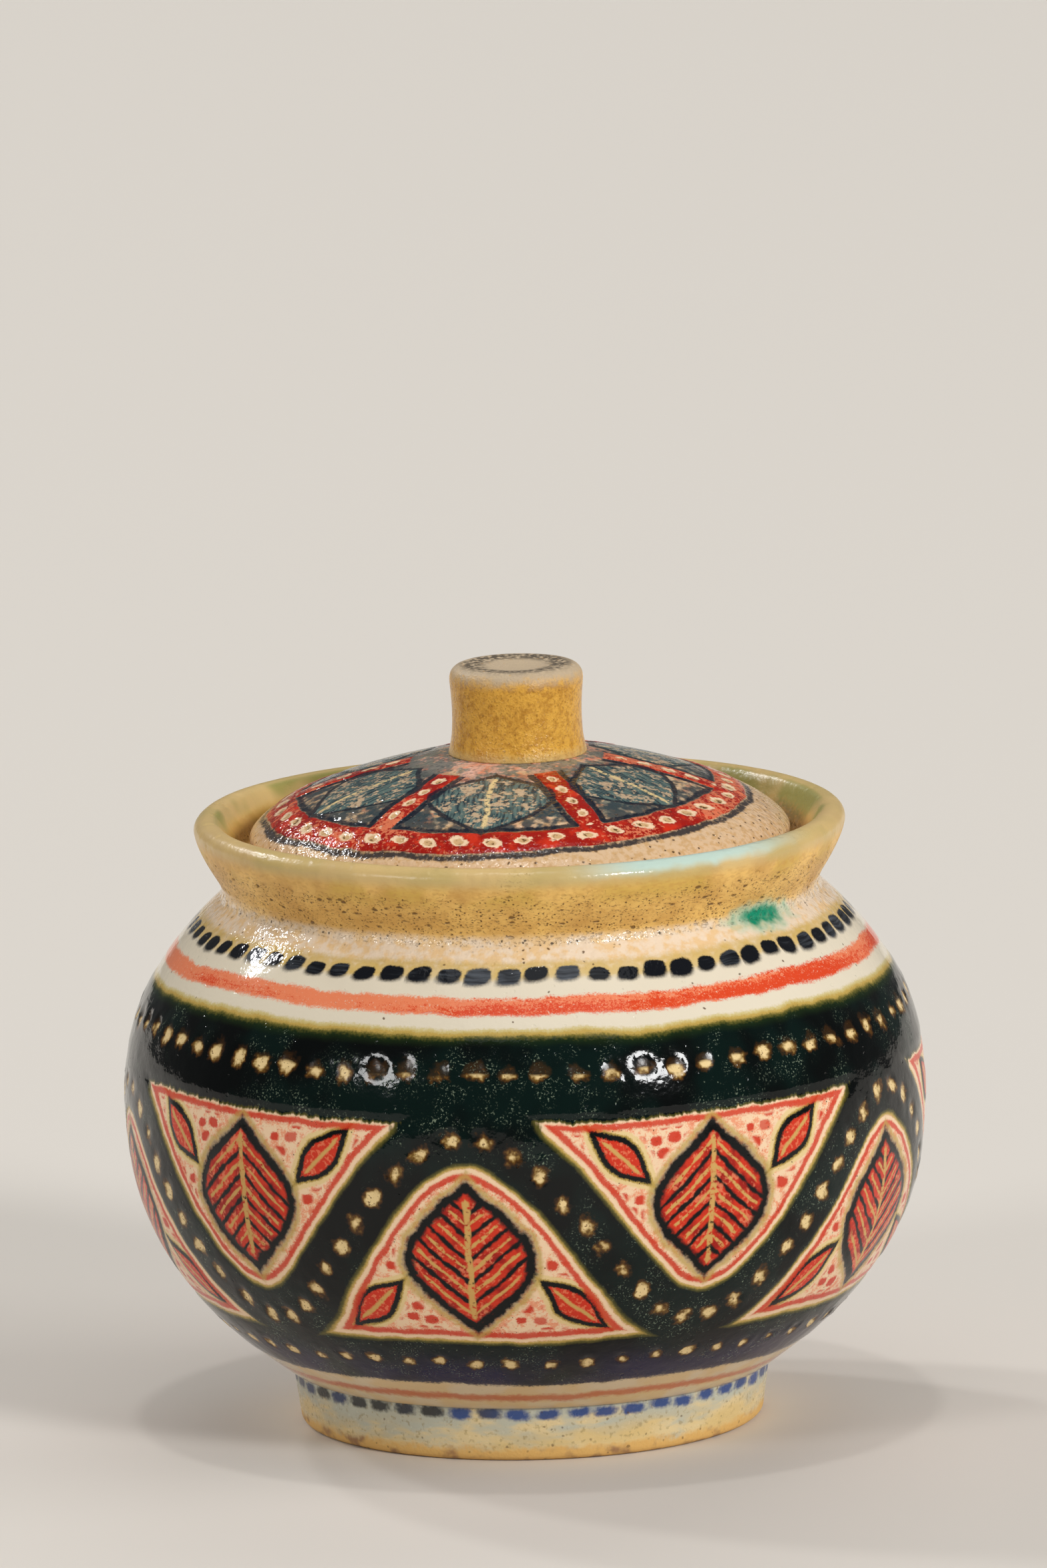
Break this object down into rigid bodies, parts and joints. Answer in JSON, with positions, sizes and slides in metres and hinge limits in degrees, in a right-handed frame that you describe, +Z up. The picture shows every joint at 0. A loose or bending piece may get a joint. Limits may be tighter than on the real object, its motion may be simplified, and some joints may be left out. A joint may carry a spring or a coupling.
{
  "type": "lidded sugar jar",
  "caption": "Round-bellied stoneware sugar jar on a foot ring, with a flared collar and a sunk domed lid that lifts off by its drum knob.",
  "frame": {"origin": "centre of the foot ring's underside, on the table", "axes": "+Z up along the turning axis, -Y towards the viewer of the picture"},
  "size_m": [0.13, 0.13, 0.1242],
  "materials": {
    "foot_glaze": "salt-glazed stoneware, mottled grey and ochre, satin",
    "painted_glaze": "glossy painted stoneware, black-green ground with cream and red",
    "ochre_glaze": "salt-glazed stoneware, pitted ochre, satin",
    "lid_glaze": "painted salt-glazed stoneware, cream ground",
    "bare_clay": "unglazed buff stoneware",
    "knob_glaze": "salt-glazed stoneware, golden ochre"
  },
  "bodies": {
    "jar": {"foot_ring": "foot_glaze", "bowl": "painted_glaze", "rim_collar": "ochre_glaze"},
    "lid": {"lid_dome": "lid_glaze", "lid_flange": "bare_clay", "lid_knob": "knob_glaze"}
  },
  "joints": [
    {"name": "lid_lift", "type": "slide", "parent": "jar", "child": "lid", "axis": [0, 0, 1], "range_m": [0, 0.1]}
  ]
}
